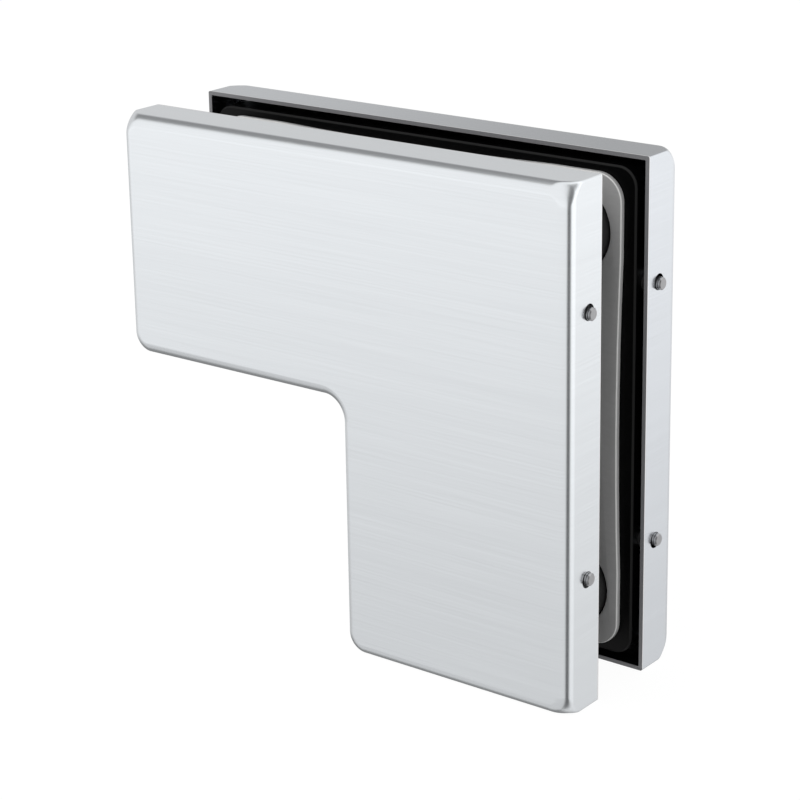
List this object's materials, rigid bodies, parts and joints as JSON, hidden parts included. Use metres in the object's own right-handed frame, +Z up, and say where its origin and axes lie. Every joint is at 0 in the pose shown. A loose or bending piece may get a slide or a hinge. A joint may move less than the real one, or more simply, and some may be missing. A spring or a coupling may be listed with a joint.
{
  "type": "transom patch fitting",
  "caption": "L-shaped patch fitting that clamps a transom pane and a side pane of a glass door set between two cushioned halves, under folded brushed steel covers.",
  "frame": {"origin": "middle of the box round the fitting, on the plane under the end of its upright arm", "axes": "+X towards the side whose covers show the pins, +Y from the front cover to the rear cover, +Z up"},
  "size_m": [0.111, 0.038, 0.105],
  "materials": {
    "cover_steel": "fine brushed stainless steel, grain running level",
    "body_black": "satin black coating on a casting",
    "gasket_grey": "grey fibre gasket with a paler cut edge",
    "sleeve_black": "black moulded sleeve",
    "screw_steel": "plain zinc-plated screw steel",
    "insert_steel": "turned steel",
    "pin_steel": "turned stainless steel with a chamfered end",
    "bush_black": "black moulded bush",
    "spring_steel": "flat spring wire"
  },
  "bodies": {
    "fitting": {"front_cover": "cover_steel", "front_body": "body_black", "front_gasket": "gasket_grey", "rear_cover": "cover_steel", "rear_body": "body_black", "rear_gasket": "gasket_grey", "corner_clamp_screw": "screw_steel", "corner_threaded_insert": "insert_steel", "corner_glass_sleeve": "sleeve_black", "arm_clamp_screw": "screw_steel", "arm_threaded_insert": "insert_steel", "arm_glass_sleeve": "sleeve_black", "foot_clamp_screw": "screw_steel", "foot_threaded_insert": "insert_steel", "foot_glass_sleeve": "sleeve_black", "front_upper_pin_bush": "bush_black", "front_upper_pin_spring": "spring_steel", "front_lower_pin_bush": "bush_black", "front_lower_pin_spring": "spring_steel", "rear_upper_pin_bush": "bush_black", "rear_upper_pin_spring": "spring_steel", "rear_lower_pin_bush": "bush_black", "rear_lower_pin_spring": "spring_steel"},
    "front_upper_pin": {"front_upper_pin": "pin_steel"},
    "front_lower_pin": {"front_lower_pin": "pin_steel"},
    "rear_upper_pin": {"rear_upper_pin": "pin_steel"},
    "rear_lower_pin": {"rear_lower_pin": "pin_steel"}
  },
  "joints": [
    {"name": "front_upper_pin_push", "type": "slide", "parent": "fitting", "child": "front_upper_pin", "axis": [1, 0, 0], "range_m": [-0.0022, 0], "stiffness_N_per_m": 500, "springref_m": 0.003, "deforming": ["front_upper_pin_spring"]},
    {"name": "front_lower_pin_push", "type": "slide", "parent": "fitting", "child": "front_lower_pin", "axis": [1, 0, 0], "range_m": [-0.0022, 0], "stiffness_N_per_m": 500, "springref_m": 0.003, "deforming": ["front_lower_pin_spring"]},
    {"name": "rear_upper_pin_push", "type": "slide", "parent": "fitting", "child": "rear_upper_pin", "axis": [1, 0, 0], "range_m": [-0.0022, 0], "stiffness_N_per_m": 500, "springref_m": 0.003, "deforming": ["rear_upper_pin_spring"]},
    {"name": "rear_lower_pin_push", "type": "slide", "parent": "fitting", "child": "rear_lower_pin", "axis": [1, 0, 0], "range_m": [-0.0022, 0], "stiffness_N_per_m": 500, "springref_m": 0.003, "deforming": ["rear_lower_pin_spring"]}
  ]
}
